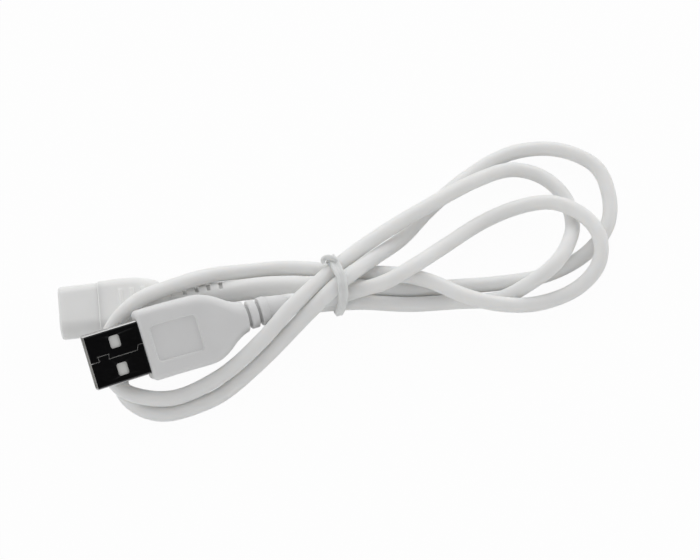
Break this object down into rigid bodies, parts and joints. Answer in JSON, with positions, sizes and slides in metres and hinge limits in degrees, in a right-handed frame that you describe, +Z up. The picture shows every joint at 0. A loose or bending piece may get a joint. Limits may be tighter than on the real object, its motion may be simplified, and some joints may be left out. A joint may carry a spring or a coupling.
{
  "type": "usb cable",
  "caption": "White USB charging cable in a loose bound hank, with a flat metal shell plug at one end and a small round hole socket at the other.",
  "frame": {"origin": "on the table, under the middle of the hank's outline", "axes": "+X along the hank, from the two connectors towards the large loops; +Z up from the table"},
  "size_m": [0.1261, 0.0696, 0.0179],
  "materials": {
    "cord_jacket": "smooth soft white PVC jacket",
    "plug_grip": "moulded soft white PVC",
    "shell_metal": "dark bright plated sheet with bare light edges",
    "tongue_plastic": "moulded white insulator",
    "inner_plastic": "grey low pressure moulding",
    "contact_metal": "bright plated brass",
    "core_red": "red core insulation",
    "core_black": "black core insulation",
    "socket_plastic": "firm moulded white plastic",
    "socket_grip": "moulded soft white PVC",
    "tie_plastic": "soft white plastic twist tie"
  },
  "bodies": {
    "root": {"cable": "cord_jacket", "plug_overmould": "plug_grip", "plug_shell": "shell_metal", "plug_insulator": "tongue_plastic", "plug_joint_mould": "inner_plastic", "plug_contact_power": "contact_metal", "plug_contact_data_minus": "contact_metal", "plug_contact_data_plus": "contact_metal", "plug_contact_ground": "contact_metal", "plug_wire_power": "core_red", "plug_wire_ground": "core_black", "socket_nose": "socket_plastic", "socket_overmould": "socket_grip", "socket_sleeve_left": "contact_metal", "socket_sleeve_right": "contact_metal", "socket_wire_left": "core_black", "socket_wire_right": "core_red", "tie": "tie_plastic"}
  },
  "joints": []
}
